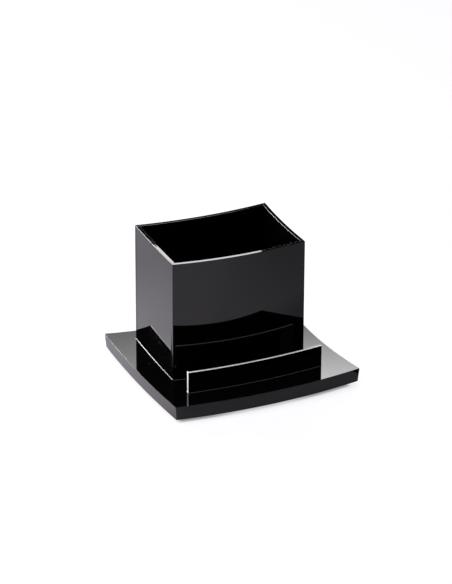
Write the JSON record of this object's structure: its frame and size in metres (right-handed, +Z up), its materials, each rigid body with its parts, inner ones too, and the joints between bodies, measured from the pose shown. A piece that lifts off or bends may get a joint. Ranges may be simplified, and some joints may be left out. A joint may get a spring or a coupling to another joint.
{
  "type": "desk pen cup",
  "caption": "Open pen cup of bowed gloss black acrylic sheets on a thick bowed base plate, with a low front rail that makes a slot, on small rubber feet.",
  "frame": {"origin": "on the desk, under the middle of the plate's outline", "axes": "+X to the right along the front rail, +Y to the back, +Z up"},
  "size_m": [0.1403, 0.1273, 0.099],
  "materials": {
    "black_acrylic": "polished black acrylic sheet, mirror gloss",
    "black_rubber": "matte moulded rubber"
  },
  "bodies": {
    "root": {"base_plate": "black_acrylic", "front_wall": "black_acrylic", "back_wall": "black_acrylic", "left_wall": "black_acrylic", "right_wall": "black_acrylic", "front_rail": "black_acrylic", "foot_front_left": "black_rubber", "foot_front_right": "black_rubber", "foot_back_left": "black_rubber", "foot_back_right": "black_rubber"}
  },
  "joints": []
}
